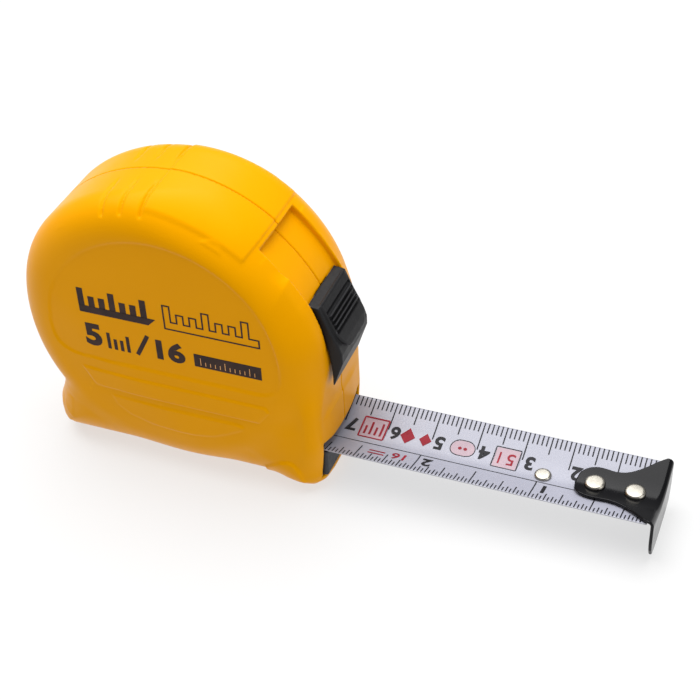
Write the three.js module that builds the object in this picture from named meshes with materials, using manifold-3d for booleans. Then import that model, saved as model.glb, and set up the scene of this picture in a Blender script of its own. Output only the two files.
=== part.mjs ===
// Pocket tape measure: two-part case, sprung reel, printed steel blade with end hook, thumb lock,
// belt clip. Millimetres. The origin is on the flat base under the reel's axis, +X towards the
// blade's mouth, +Y towards the belt clip, +Z up.
import * as THREE from 'three';
import { mergeVertices } from 'three/addons/utils/BufferGeometryUtils.js';
import { RoundedBoxGeometry } from 'three/addons/geometries/RoundedBoxGeometry.js';
import Module from 'manifold-3d';

const wasm = await Module();
wasm.setup();

// ---------- driving dimensions ----------
const GAP = 0.3;                     // between pieces that touch
const SEAM_Y = 0.5;                  // parting plane of the two shells
const WALL = 1.8;

const AXLE_Z = 34.3;                 // reel axis above the base
const CASE_R = 33.8;                 // round body
const CASE_HALF = 15.6;              // half thickness of the round body
const RIM = 7.5;                     // fillet round the rim
const BASE_FRONT = 34.0;             // mouth plane
const BASE_REAR = -32.0;
const BASE_TOP = 20.0;
const BASE_HALF = 14.3;
const NOSE_HALF = 13.8;

const TRACK = { x: -3.8, z: 28.3 };  // centre of the arc the thumb lock slides on
const TRACK_R = 39.1;                // floor of the track
const TRACK_LOW = -2.2;              // degrees, lower end of the track
const TRACK_TOP = 50;                // degrees, upper end
const TRACK_HALF = 7.8;
const TRACK_WALL = 2.2;              // case wall under the track floor

const BLADE_W = 19.0;
const CUP_R = 13.0;                  // section: an arc of this radius up to CUP_Y, then straight
const CUP_Y = 4.3;
const BLADE_T = 0.25;
const BLADE_Z = 7.9;                 // underside at the middle
const BLADE_START = 2.0;             // where it meets the coil's tangent
const BLADE_END = 102.5;
const MOUTH_HALF = 10.3;
const MOUTH_FLOOR = 3.2;
const BUMPER_LOW = 3.6;
const MOUTH_TOP = 11.1;              // at the middle; its ends rise by MOUTH_RISE, as the hook's do
const MOUTH_RISE = 1.9;

const COIL_R = 22.5;
const DRUM_R = 14.0;
const DISC_R = 23.4;
const DISC_IN = 9.75;                // inner faces of the reel's side discs
const DISC_T = 0.9;
const SPINDLE_R = 3.0;
const RUN_FIT = 0.08;

const LOCK_HALF = 7.4;
const GRIP_HALF = 6.6;
const ARM_IN = 34.7;                 // brake arm, radii about the track centre
const ARM_OUT = 36.3;

const HOOK_X = 103.35;               // inner face of the hook's flange
const HOOK_T = 0.7;
const HOOK_HALF = 10.0;
const HOOK_LOW = 0.25;
const HOOK_FLOAT = 0.7;              // travel that allows for the flange's own thickness
const HOOK_RIVETS = [89.8, 98.2];
const LONE_RIVET = 78.8;

const CLIP_W = 15.0;
const CLIP_T = 0.9;
const CLIP_GAP = 4.7;
const CLIP_SCREW_Z = 49.0;

const SCREWS = [[13.2, 59.6], [-18.1, 56.8], [-25.2, 9.6], [25.0, 18.2]];
const BOSS_R = 2.7;

// ---------- colours ----------
const look = (color, roughness, metalness) => () =>
  new THREE.MeshStandardMaterial({ color, roughness, metalness });
const YELLOW = look(0xe9ab06, 0.42, 0.0);
const BLACK = look(0x1b1b1d, 0.5, 0.0);
const HOOK_BLACK = look(0x17171a, 0.25, 0.4);
const BLADE_WHITE = look(0xd9dce6, 0.35, 0.1);
const NICKEL = look(0xb9b4a8, 0.28, 1.0);
const STEEL = look(0x8d9096, 0.35, 1.0);
const SPRING = look(0x5a6070, 0.3, 1.0);
const WHITE_PLASTIC = look(0xe6e4dc, 0.55, 0.0);

// ---------- helpers ----------
const rad = THREE.MathUtils.degToRad;

// three.js geometry to a manifold solid, facing outwards
function solid(geometry) {
  let g = geometry.clone();
  g.deleteAttribute('normal');
  g.deleteAttribute('uv');
  g = mergeVertices(g, 1e-4);
  const index = [];
  for (let i = 0; i < g.index.count; i += 3) {
    const [a, b, c] = [0, 1, 2].map((k) => g.index.getX(i + k));
    if (a !== b && b !== c && c !== a) index.push(a, b, c);
  }
  const build = (tris) => new wasm.Manifold(new wasm.Mesh({
    numProp: 3,
    vertProperties: new Float32Array(g.attributes.position.array),
    triVerts: new Uint32Array(tris),
  }));
  const out = build(index);
  if (out.volume() > 0) return out;
  const flipped = [];
  for (let i = 0; i < index.length; i += 3) flipped.push(index[i], index[i + 2], index[i + 1]);
  return build(flipped);
}

function toGeometry(manifold) {
  const mesh = manifold.getMesh();
  const positions = new Float32Array(mesh.numVert * 3);
  for (let i = 0; i < mesh.numVert; i++) {
    for (let k = 0; k < 3; k++) {
      positions[3 * i + k] = mesh.vertProperties[mesh.numProp * i + k];
    }
  }
  const g = new THREE.BufferGeometry();
  g.setAttribute('position', new THREE.BufferAttribute(positions, 3));
  g.setIndex(new THREE.BufferAttribute(new Uint32Array(mesh.triVerts), 1));
  g.computeVertexNormals();
  return g;
}

const union = (...solids) => solids.reduce((a, b) => a.add(b));
const cut = (from, ...tools) => tools.reduce((a, b) => a.subtract(b), from);

// profile of [x, z] points, or a Shape in x and z, pushed along Y from y0 to y1
function alongY(profile, y0, y1, bevel = 0, bevelSteps = 3, curveSegments = 12) {
  const shape = Array.isArray(profile)
    ? new THREE.Shape(profile.map(([x, z]) => new THREE.Vector2(x, z))) : profile;
  const g = new THREE.ExtrudeGeometry(shape, {
    depth: y1 - y0 - 2 * bevel,
    bevelEnabled: bevel > 0,
    bevelThickness: bevel,
    bevelSize: bevel,
    bevelOffset: -bevel,
    bevelSegments: bevelSteps,
    curveSegments,
  });
  g.rotateX(Math.PI / 2);
  g.translate(0, y1 - bevel, 0);
  return solid(g);
}

// profile of [y, z] points pushed along X from x0 to x1
function alongX(points, x0, x1) {
  const shape = new THREE.Shape(points.map(([y, z]) => new THREE.Vector2(y, z)));
  const g = new THREE.ExtrudeGeometry(shape, { depth: x1 - x0, bevelEnabled: false });
  g.rotateX(Math.PI / 2);
  g.rotateZ(Math.PI / 2);
  g.translate(x0, 0, 0);
  return solid(g);
}

// outline of [x, y] points pushed up from z0 to z1
function alongZ(points, z0, z1) {
  const shape = new THREE.Shape(points.map(([x, y]) => new THREE.Vector2(x, y)));
  const g = new THREE.ExtrudeGeometry(shape, { depth: z1 - z0, bevelEnabled: false });
  g.translate(0, 0, z0);
  return solid(g);
}

// solid of revolution about an axis along Y through (x, z); points are [radius, y]
function turned(points, x, z, segments = 64) {
  const g = new THREE.LatheGeometry(points.map(([r, y]) => new THREE.Vector2(r, y)), segments);
  g.translate(x, 0, z);
  return solid(g);
}

const rod = (r, x, z, y0, y1, segments = 32) =>
  turned([[0, y0], [r, y0], [r, y1], [0, y1]], x, z, segments);

const box = (x0, x1, y0, y1, z0, z1) => {
  const g = new THREE.BoxGeometry(x1 - x0, y1 - y0, z1 - z0);
  g.translate((x0 + x1) / 2, (y0 + y1) / 2, (z0 + z1) / 2);
  return solid(g);
};

// points on an arc about the track centre, angles in degrees from +X towards +Z
function trackArc(r, from, to, steps = 16) {
  return Array.from({ length: steps + 1 }, (_, i) => {
    const a = rad(from + ((to - from) * i) / steps);
    return [TRACK.x + r * Math.cos(a), TRACK.z + r * Math.sin(a)];
  });
}

const sector = (r0, r1, from, to, half, steps = 16) => alongY(
  [...trackArc(r1, from, to, steps), ...trackArc(r0, to, from, steps)], -half, half);

// rise of the blade's section above its middle
function cupRise(y) {
  const side = Math.abs(y);
  const arc = (v) => CUP_R - Math.sqrt(CUP_R ** 2 - v * v);
  if (side < CUP_Y) return arc(side);
  return arc(CUP_Y) + ((side - CUP_Y) * CUP_Y) / Math.sqrt(CUP_R ** 2 - CUP_Y ** 2);
}

// the same height measured through a thickness t, square to the section
const cupThick = (y, t) => {
  const v = Math.min(Math.abs(y), CUP_Y);
  return (t * CUP_R) / Math.sqrt(CUP_R ** 2 - v * v);
};

function mesh(name, manifold, material) {
  const m = new THREE.Mesh(toGeometry(manifold), material());
  m.name = name;
  return m;
}

// ---------- case ----------
// round body with its rim fillet; inset moves every face inwards by that much
function disc(inset) {
  const R = CASE_R - inset, H = CASE_HALF - inset, f = RIM - inset;
  const arc = Array.from({ length: 6 }, (_, i) => {
    const a = rad(90 * (i / 5));
    return [R - f + f * Math.cos(a), H - f + f * Math.sin(a)];
  });
  const lower = arc.map(([r, y]) => [r, -y]).reverse();
  return turned([[0, -H], ...lower, ...arc, [0, H]], 0, AXLE_Z, 72);
}

function base(inset) {
  const w = BASE_FRONT - 5 - BASE_REAR - inset;
  const h = BASE_TOP - inset;
  const g = new RoundedBoxGeometry(w, 2 * (BASE_HALF - inset), h, 3, 7.5 - inset);
  g.translate(BASE_REAR + inset + w / 2, 0, inset + h / 2);
  return solid(g);
}

// front of the case, from the nose up to the side of the lock
const FRONT_PROFILE = [
  [0, 0], [30, 0], [33, 1.2], [34, 4], [34, 20.7], [34.5, 28.3], [34.9, 33.1], [34.8, 37.1],
  [34.4, 40.9], [33.4, 45], [31.9, 48.6], [28, 53.5], [10, 50], [0, 40],
];

function caseOuter() {
  const front = alongY(FRONT_PROFILE, -NOSE_HALF, NOSE_HALF, 3.6, 3);
  return union(disc(0), base(0), front);
}

function caseCavity() {
  const underTrack = sector(TRACK_R - TRACK_WALL, 60, -14, TRACK_TOP + 8, 10.5);
  const front = alongY([
    ...trackArc(TRACK_R - TRACK_WALL, -10, 24, 8), [6, 44], [0, 30], [0, WALL + 0.3],
    [BASE_FRONT - WALL, WALL + 0.3],
  ], -10.5, 10.5);
  const lintel = Array.from({ length: 13 }, (_, i) => {
    const y = -MOUTH_HALF + (2 * MOUTH_HALF * i) / 12;
    return [y, MOUTH_TOP + MOUTH_RISE * (y / MOUTH_HALF) ** 2];
  });
  const mouth = alongX(
    [[-MOUTH_HALF, MOUTH_FLOOR], ...lintel, [MOUTH_HALF, MOUTH_FLOOR]], 20, 40);
  return union(cut(disc(WALL), underTrack), base(WALL), front, mouth);
}

// hollow left in the case for the thumb lock: the track, and the slot its neck passes through
function lockHollow() {
  return union(
    sector(TRACK_R, 60, TRACK_LOW, TRACK_TOP, TRACK_HALF),
    sector(ARM_OUT, TRACK_R + 1, 4.0, 27.6, 3.4, 10),
  );
}

function bosses(y0, y1) {
  return union(...SCREWS.map(([x, z]) => rod(BOSS_R, x, z, y0, y1, 20)));
}

// wider end of each far boss, round the screw's counterbore
const collars = () => union(...SCREWS.map(([x, z]) => rod(4.2, x, z, 9.9, 13.8, 20)));

function caseShell(side) {
  const near = side < 0;
  const [y0, y1] = near ? [-40, SEAM_Y - GAP / 2] : [SEAM_Y + GAP / 2, 40];
  const half = box(-60, 60, y0, y1, -10, 90);
  const [b0, b1] = near ? [-13.2, y1] : [y0, 13.2];
  const outer = caseOuter();
  let shell = cut(outer, caseCavity());
  shell = union(shell.intersect(half), outer.intersect(bosses(b0, b1)));
  if (!near) shell = union(shell, outer.intersect(collars()));
  shell = cut(shell, lockHollow());
  const holes = SCREWS.map(([x, z]) => (near
    ? rod(1.5, x, z, -8.2, 5, 16)
    : union(rod(1.6, x, z, 0, 30, 16), rod(2.9, x, z, 11.2, 30, 20))));
  shell = cut(shell, ...holes);
  // seat for the spindle's end, and the hole for the clip screw
  if (near) return cut(shell, rod(SPINDLE_R + GAP, 0, AXLE_Z, -14.6, 0, 32));
  return cut(shell, rod(SPINDLE_R + GAP, 0, AXLE_Z, 0, 14.6, 32),
    rod(1.5, 0, CLIP_SCREW_Z, 12, 20, 16));
}

function caseScrew([x, z]) {
  const body = union(rod(2.5, x, z, 11.5, 13.0, 24), rod(1.2, x, z, -7.8, 12, 16));
  const recess = union(box(x - 1.5, x + 1.5, 12.2, 14, z - 0.3, z + 0.3),
    box(x - 0.3, x + 0.3, 12.2, 14, z - 1.5, z + 1.5));
  return cut(body, recess);
}

function mouthBumper() {
  const steps = 14;
  const curve = Array.from({ length: steps + 1 }, (_, i) => {
    const y = -9.9 + (19.8 * i) / steps;
    return [y, BLADE_Z - GAP + cupRise(y)];
  });
  const channel = box(30, 36, -2.3, 2.3, BLADE_Z - 1.5, BLADE_Z + 1);   // lets the rivets by
  return cut(alongX([[-9.9, BUMPER_LOW], ...curve, [9.9, BUMPER_LOW]], 31.2, 34.3), channel);
}

// ---------- reel ----------
function spindle() {
  const post = rod(SPINDLE_R, 0, AXLE_Z, -14.2, 14.2, 32);
  return cut(post, box(-0.5, 0.5, -8.9, 8.9, AXLE_Z - 4, AXLE_Z + 4));
}

const hubBore = () => rod(SPINDLE_R + RUN_FIT, 0, AXLE_Z, -20, 20, 32);

function reelDrum() {
  const disc1 = rod(DISC_R, 0, AXLE_Z, DISC_IN, DISC_IN + DISC_T, 48);
  const wall = rod(DRUM_R, 0, AXLE_Z, -DISC_IN + GAP, DISC_IN + 0.2, 48);
  const inside = rod(DRUM_R - 1.2, 0, AXLE_Z, -20, DISC_IN, 48);
  return cut(union(disc1, cut(wall, inside)), hubBore());
}

function reelDisc() {
  return cut(rod(DISC_R, 0, AXLE_Z, -DISC_IN - DISC_T, -DISC_IN, 48), hubBore());
}

function bladeCoil() {
  const y = DISC_IN - GAP;
  return cut(rod(COIL_R, 0, AXLE_Z, -y, y, 64), rod(DRUM_R + GAP, 0, AXLE_Z, -20, 20, 64));
}

// spiral strip between two radii
function powerSpring() {
  const turns = 5, steps = turns * 24, t = 0.35, r0 = 3.9, r1 = 12.1;
  const at = (i, off) => {
    const a = (2 * Math.PI * turns * i) / steps;
    const r = r0 + ((r1 - r0) * i) / steps + off;
    return [r * Math.cos(a), AXLE_Z + r * Math.sin(a)];
  };
  const ids = Array.from({ length: steps + 1 }, (_, i) => i);
  return alongY([...ids.map((i) => at(i, 0)), ...ids.reverse().map((i) => at(i, t))], -8.6, 8.6);
}

// ---------- blade ----------
// cupped strip: z at the middle of its underside is z0
function cupped(z0, half, thick, x0, x1, steps = 16) {
  const ids = Array.from({ length: steps + 1 }, (_, i) => -half + (2 * half * i) / steps);
  const low = ids.map((y) => [y, z0 + cupRise(y)]);
  const high = [...ids].reverse().map((y) => [y, z0 + cupRise(y) + cupThick(y, thick)]);
  return alongX([...low, ...high], x0, x1);
}

const post = (r, x, y, z0, z1, segments = 20) => {
  const g = new THREE.CylinderGeometry(r, r, z1 - z0, segments);
  g.rotateX(Math.PI / 2);
  g.translate(x, y, (z0 + z1) / 2);
  return solid(g);
};

function blade() {
  const strip = cupped(BLADE_Z, BLADE_W / 2, BLADE_T, BLADE_START, BLADE_END);
  return cut(strip, ...[...HOOK_RIVETS, LONE_RIVET].map((x) => post(1.25, x, 0, 0, 20)));
}

function rivet(x, headZ, headR) {
  const dome = new THREE.SphereGeometry(headR, 24, 12);
  dome.scale(1, 1, 0.42);
  dome.translate(x, 0, headZ);
  const upper = solid(dome).intersect(box(x - 5, x + 5, -5, 5, headZ, headZ + 5));
  const lower = post(headR * 0.8, x, 0, BLADE_Z - 0.9, BLADE_Z - GAP, 24);
  return union(upper, post(0.9, x, 0, BLADE_Z - 0.5, headZ + 0.1), lower);
}

// ---------- hook ----------
const HOOK_TOP = BLADE_Z + BLADE_T + GAP;   // underside of the tongue at the middle

// tongue outline seen from above: round inner end, waist, then flaring to the flange
function tongueOutline() {
  const side = [[86.0, 2.4], [87.0, 3.6], [88.6, 4.4], [90.5, 4.6], [93.5, 4.4], [96.0, 5.0],
    [98.6, 6.6], [101.0, 8.6], [102.6, 9.7], [HOOK_X + HOOK_T, HOOK_HALF]];
  return [[85.6, 0], ...side, ...side.map(([x, y]) => [x, -y]).reverse()];
}

function endHook() {
  const tongue = cupped(HOOK_TOP, HOOK_HALF, HOOK_T, 84, HOOK_X + HOOK_T, 16)
    .intersect(alongZ(tongueOutline(), 0, 30));
  const rim = (y) => HOOK_TOP + cupRise(y) + cupThick(y, HOOK_T);
  const ids = Array.from({ length: 13 }, (_, i) => -HOOK_HALF + (2 * HOOK_HALF * i) / 12);
  const flange = alongX([
    ...ids.map((y) => [y, rim(y)]), [HOOK_HALF - 0.6, 3.4], [HOOK_HALF - 1.6, 1.4], [5.6, 0.5],
    [0, HOOK_LOW], [-5.6, 0.5], [1.6 - HOOK_HALF, 1.4], [0.6 - HOOK_HALF, 3.4],
  ], HOOK_X, HOOK_X + HOOK_T);
  const slots = HOOK_RIVETS.map((x) => union(post(1.25, x, 0, 0, 20),
    box(x, x + HOOK_FLOAT, -1.25, 1.25, 0, 20), post(1.25, x + HOOK_FLOAT, 0, 0, 20)));
  return cut(union(tongue, flange), ...slots);
}

// ---------- thumb lock ----------
// side of the pad, from its top edge down the front to the tip of the wedge
const PAD_PROFILE = [
  [31.3, 46.8], [33.4, 46.5], [34.1, 44.9], [35.7, 41.0], [37.3, 37.6], [37.9, 35.6],
  [37.9, 33.4], [36.7, 30.0], [35.8, 27.3],
];
// front of the raised grip, top to lip, and the ribs across it
const GRIP_PROFILE = [
  [33.2, 46.7], [33.7, 46.5], [34.7, 44.6], [36.4, 41.0], [38.0, 38.0], [38.6, 36.4],
  [38.6, 35.6], [37.6, 35.2], [33.0, 44.0],
];
const GRIP_OUTLINE = [[6.6, 60], [6.6, 40.2], [6.2, 38.6], [5.3, 37.2], [4.0, 36.1], [2.5, 35.5]];
const RIBS = [[34.95, 44.0], [35.45, 43.0], [35.9, 42.0], [36.4, 41.0]];

function thumbLock() {
  const body = alongY([...PAD_PROFILE, ...trackArc(TRACK_R + GAP, -1.4, 28.3, 14)],
    -LOCK_HALF, LOCK_HALF);
  const outline = alongX([...GRIP_OUTLINE.map(([y, z]) => [-y, z]),
    ...[...GRIP_OUTLINE].reverse()], 20, 60);
  const grip = alongY(GRIP_PROFILE, -GRIP_HALF, GRIP_HALF).intersect(outline);
  const neck = sector(ARM_OUT + GAP, TRACK_R + 1, 5, 10, 2.9, 4);
  const ribs = RIBS.map(([x, z]) => rod(0.5, x, z, -5.4, 5.4, 10));
  return union(body, grip, neck, ...ribs);
}

const brakeArm = () => sector(ARM_IN, ARM_OUT, -22, 28, 4.2, 18);

const brakeShoe = () => sector(ARM_IN - 0.6, ARM_OUT - 0.1, -26.8, -22.5, 6.0, 4);

// ---------- belt clip ----------
function beltClip() {
  const y0 = CASE_HALF + GAP;                    // inner face of the fixed leg
  const y1 = y0 + CLIP_T;
  const y2 = y1 + CLIP_GAP;                      // inner face of the leaf
  const y3 = y2 + CLIP_T;
  const top = 56, r = (y3 - y0) / 2, c = (y0 + y3) / 2;
  const bend = (radius, n = 8) => Array.from({ length: n + 1 }, (_, i) => {
    const a = Math.PI * (i / n);
    return [c - radius * Math.cos(a), top - r + radius * Math.sin(a)];
  });
  const strip = [
    [y0, 42], ...bend(r), [y3, 26], [y0 + 3.2, 17.5], [y0 + 3.6, 15.6], [y0 + 5.0, 13.9],
    [y0 + 4.4, 13.3], [y0 + 2.7, 15.3], [y0 + 2.2, 17.4], [y2, 26.1],
    ...bend(r - CLIP_T).reverse(), [y1, 42],
  ];
  const plan = alongX(strip, -CLIP_W / 2, CLIP_W / 2);
  return cut(plan, rod(1.6, 0, CLIP_SCREW_Z, 10, y1 + 1, 20), rod(3.2, 0, CLIP_SCREW_Z, y2 - 1, 30, 24));
}

function clipScrew() {
  const y = CASE_HALF + 2 * GAP + CLIP_T;
  const head = rod(2.6, 0, CLIP_SCREW_Z, y, y + 1.5, 24);
  const shank = rod(1.2, 0, CLIP_SCREW_Z, 12.6, y + 0.5, 16);
  const z = CLIP_SCREW_Z;
  return cut(union(head, shank), box(-1.6, 1.6, y + 0.8, y + 3, z - 0.35, z + 0.35),
    box(-0.35, 0.35, y + 0.8, y + 3, z - 1.6, z + 1.6));
}

// ---------- assembly ----------
const object = new THREE.Group();
object.name = 'tape_measure';

const caseGroup = new THREE.Group();
caseGroup.name = 'case';
caseGroup.add(
  mesh('case_shell_near', caseShell(-1), YELLOW),
  mesh('case_shell_far', caseShell(1), YELLOW),
  mesh('mouth_bumper', mouthBumper(), BLACK),
  mesh('spindle', spindle(), STEEL),
  mesh('belt_clip', beltClip(), STEEL),
  mesh('clip_screw', clipScrew(), STEEL),
  ...SCREWS.map((p, i) => mesh(`case_screw_${i + 1}`, caseScrew(p), STEEL)),
);

const reel = new THREE.Group();
reel.name = 'reel';
reel.add(
  mesh('reel_drum', reelDrum(), WHITE_PLASTIC),
  mesh('reel_disc', reelDisc(), WHITE_PLASTIC),
  mesh('blade_coil', bladeCoil(), BLADE_WHITE),
  mesh('power_spring', powerSpring(), SPRING),
);

const drawn = new THREE.Group();
drawn.name = 'drawn_blade';
drawn.add(
  mesh('blade', blade(), BLADE_WHITE),
  ...HOOK_RIVETS.map((x, i) =>
    mesh(`hook_rivet_${i + 1}`, rivet(x, HOOK_TOP + HOOK_T + GAP, 2.2), NICKEL)),
  mesh('blade_rivet', rivet(LONE_RIVET, BLADE_Z + BLADE_T + GAP, 1.8), NICKEL),
  mesh('end_hook', endHook(), HOOK_BLACK),
);

const lock = new THREE.Group();
lock.name = 'lock';
lock.add(
  mesh('thumb_lock', thumbLock(), BLACK),
  mesh('brake_arm', brakeArm(), BLACK),
  mesh('brake_shoe', brakeShoe(), BLACK),
);

object.add(caseGroup, reel, drawn, lock);

export default object;
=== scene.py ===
# Pocket tape measure: moulded yellow case, printed cupped blade with a riveted end hook, ribbed
# thumb lock, belt clip. Lengths are millimetres until add_mesh turns them into metres. The case,
# bumper, lock, hook, clip and screws are distance fields, meshed by nets().
import math

import bpy
import numpy as np
from mathutils import Matrix, Vector


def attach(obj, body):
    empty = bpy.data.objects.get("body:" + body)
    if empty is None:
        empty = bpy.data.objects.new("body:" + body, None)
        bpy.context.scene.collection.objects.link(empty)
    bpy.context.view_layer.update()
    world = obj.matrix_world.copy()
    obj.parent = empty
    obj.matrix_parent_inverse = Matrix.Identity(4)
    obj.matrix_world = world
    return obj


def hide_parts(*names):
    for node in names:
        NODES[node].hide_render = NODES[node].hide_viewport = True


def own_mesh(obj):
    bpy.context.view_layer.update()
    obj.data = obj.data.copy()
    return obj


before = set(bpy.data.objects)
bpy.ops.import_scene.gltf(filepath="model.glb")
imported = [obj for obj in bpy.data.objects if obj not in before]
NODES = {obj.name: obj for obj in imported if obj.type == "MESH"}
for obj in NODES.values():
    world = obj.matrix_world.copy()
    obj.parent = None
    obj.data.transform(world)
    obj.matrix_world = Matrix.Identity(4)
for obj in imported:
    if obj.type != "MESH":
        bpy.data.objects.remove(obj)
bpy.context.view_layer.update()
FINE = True

# ---------------------------------------------------------------- dimensions, millimetres
AXLE = (0.0, 34.3)
CASE_R, CASE_FACE, RIM = 33.8, 15.3, 7.5
STEP = 0.3                         # depth of the side panels' steps
WALL = 1.8
SEAM = (0.44, 0.56)
BASE_HALF, NOSE_HALF = 14.3, 13.8
TRACK, TRACK_R, TRACK_LOW, TRACK_TOP, TRACK_HALF = (-3.8, 28.3), 39.1, -2.2, 50.0, 7.8
MOUTH_HALF, MOUTH_TOP, MOUTH_RISE, MOUTH_FLOOR = 10.3, 11.1, 1.9, 3.2
BLADE_Z, BLADE_T = 7.9, 0.25
CUP_R, CUP_Y = 13.0, 4.3           # the strip is round up to CUP_Y, and straight from there out
CUP_COS = 0.95                     # of the straight part's slope
BLADE_HALF, BLADE_X0, BLADE_X1 = 9.5, 2.0, 102.5
ZERO_X = 103.5                     # the scale's zero
INCH = 25.4
HOOK_FLANGE_X, HOOK_SHEET = 103.7, 0.7     # middle of the flange, and the thickness of the steel
HOOK_RIVETS, HOOK_RIVET_Z, HOOK_RIVET_R = (89.8, 98.2), 9.36, 2.2
BLADE_RIVET, BLADE_RIVET_Z, BLADE_RIVET_R = 78.8, 8.32, 1.8
NECK_R, NECK_DEPTH, NECK_HALF = 38.35, 3.5, 2.9    # lock's neck, through its slot in the case
NECK_AT, NECK_SPAN = 7.5, 5.0      # degrees about the track's centre, as the slot's ends are
SLOT_HALF, SLOT_FROM, SLOT_TO = 3.4, 4.0, 27.6
SPINDLE_SEAT = 3.3
SCREWS = [(13.2, 59.6), (-18.1, 56.8), (-25.2, 9.6), (25.0, 18.2)]
BOSS_R, COLLAR_R = 2.7, 4.2
CLIP_SCREW = (0.0, 49.0)
FLOOR_Z = -0.0004                  # metres, just under the base


# ---------------------------------------------------------------- distance fields
def smax(a, b, k):
    """Larger of two fields, rounded over k where they meet; smin is the smaller."""
    h = np.maximum(k - np.abs(a - b), 0) / k
    return np.maximum(a, b) + h * h * k * 0.25


def smin(a, b, k):
    return -smax(-a, -b, k)


def plate(p, q, r):
    """Where both p and q are negative, with that edge radius between the two."""
    p, q = p + r, q + r
    return np.hypot(np.maximum(p, 0), np.maximum(q, 0)) + np.minimum(np.maximum(p, q), 0) - r


def step01(a, b, x):
    t = np.clip((x - a) / (b - a), 0, 1)
    return t * t * (3 - 2 * t)


def outline(points):
    """Signed distance to a closed polygon."""
    pts = np.array(points, float)

    def field(x, z):
        best, sign = None, np.ones(np.broadcast(x, z).shape)
        for i in range(len(pts)):
            a, b = pts[i], pts[i - 1]
            ex, ez = b - a
            wx, wz = x - a[0], z - a[1]
            t = np.clip((wx * ex + wz * ez) / (ex * ex + ez * ez), 0, 1)
            q = (wx - ex * t) ** 2 + (wz - ez * t) ** 2
            best = q if best is None else np.minimum(best, q)
            c1, c2, c3 = z >= a[1], z < b[1], ex * wz > ez * wx
            sign = np.where((c1 & c2 & c3) | ~(c1 | c2 | c3), -sign, sign)
        return sign * np.sqrt(best)
    return field


def path_distance(points):
    """Distance to an open chain of points."""
    pts = np.array(points, float)

    def field(x, z):
        best = None
        for a, b in zip(pts[:-1], pts[1:]):
            ex, ez = b - a
            wx, wz = x - a[0], z - a[1]
            t = np.clip((wx * ex + wz * ez) / (ex * ex + ez * ez), 0, 1)
            q = (wx - ex * t) ** 2 + (wz - ez * t) ** 2
            best = q if best is None else np.minimum(best, q)
        return np.sqrt(best)
    return field


def smooth(points, n=4, closed=True):
    """Catmull-Rom curve through the points."""
    p = np.array(points, float)
    out, count = [], len(p)
    for i in range(count if closed else count - 1):
        if closed:
            a, b, c, d = p[i - 1], p[i], p[(i + 1) % count], p[(i + 2) % count]
        else:
            a, b, c, d = p[max(i - 1, 0)], p[i], p[i + 1], p[min(i + 2, count - 1)]
        for t in np.arange(n) / n:
            out.append(0.5 * (2 * b + (c - a) * t + (2 * a - 5 * b + 4 * c - d) * t ** 2
                              + (3 * b - a - 3 * c + d) * t ** 3))
    if not closed:
        out.append(p[-1])
    return [tuple(v) for v in out]


def blade_height(y, lift=0.0):
    """Underside of the cupped strip at y, plus lift."""
    ay = np.abs(y)
    arc = CUP_R - np.sqrt(CUP_R ** 2 - np.minimum(ay, CUP_Y) ** 2)
    slope = CUP_Y / math.sqrt(CUP_R ** 2 - CUP_Y ** 2)
    return BLADE_Z + arc + slope * np.maximum(ay - CUP_Y, 0) + lift


# ---------------------------------------------------------------- meshes
def add_mesh(name, co, faces, material, body, replaces=(), flat=False):
    """Object from millimetre points that rides on a body and stands in for its CAD nodes."""
    me = bpy.data.meshes.new(name)
    metres = (np.asarray(co, float) * 0.001).tolist()
    me.from_pydata(metres, [], [list(map(int, f)) for f in faces])
    me.validate()
    me.update()
    me.polygons.foreach_set("use_smooth", np.full(len(me.polygons), not flat))
    o = bpy.data.objects.new(name, me)
    bpy.context.scene.collection.objects.link(o)
    for m in material if isinstance(material, (list, tuple)) else [material]:
        me.materials.append(m)
    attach(o, body)
    if replaces:
        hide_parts(*replaces)
    return o


def nets(field, lo, hi, step):
    """Closed quad mesh on a field's zero surface (surface nets), its points moved onto it."""
    ax = [np.arange(lo[i], hi[i] + step, step) for i in range(3)]
    shape = tuple(len(a) for a in ax)
    values = field(ax[0][:, None, None], ax[1][None, :, None], ax[2][None, None, :])
    f = np.broadcast_to(values, shape)
    inside = f < 0
    cells, points, quads = [], [], []
    for k in range(3):
        low, high = [slice(None)] * 3, [slice(None)] * 3
        low[k], high[k] = slice(0, -1), slice(1, None)
        low, high = tuple(low), tuple(high)
        hit = np.argwhere(inside[low] != inside[high])
        at = tuple(hit.T)
        fa, fb = f[low][at], f[high][at]
        p = hit.astype(float)
        p[:, k] += fa / (fa - fb)
        u, v = (k + 1) % 3, (k + 2) % 3
        ring = []
        for du, dv in ((-1, -1), (0, -1), (0, 0), (-1, 0)):
            c = hit.copy()
            c[:, u] += du
            c[:, v] += dv
            ring.append((c[:, 0] * shape[1] + c[:, 1]) * shape[2] + c[:, 2])
            points.append(p)
        ring = np.stack(ring)
        cells.append(ring.ravel())
        quads.append((ring.shape[1], inside[low][at]))
    cells, points = np.concatenate(cells), np.concatenate(points)
    _, where = np.unique(cells, return_inverse=True)
    count = np.bincount(where)
    co = np.stack([np.bincount(where, points[:, i]) / count for i in range(3)], 1)
    co = co * step + np.array([a[0] for a in ax])
    faces, start = [], 0
    for m, forward in quads:
        q = where[start:start + 4 * m].reshape(4, m).T
        faces.append(np.where(forward[:, None], q, q[:, ::-1]))
        start += 4 * m
    faces = np.concatenate(faces)
    for _ in range(2):
        base = field(*co.T)
        g = np.stack([(field(*(co + d).T) - base) / 0.02 for d in np.eye(3) * 0.02], 1)
        move = base[:, None] * g / np.maximum((g * g).sum(1), 0.3)[:, None]
        co = co - np.clip(move, -0.5 * step, 0.5 * step)
    return co, faces


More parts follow.
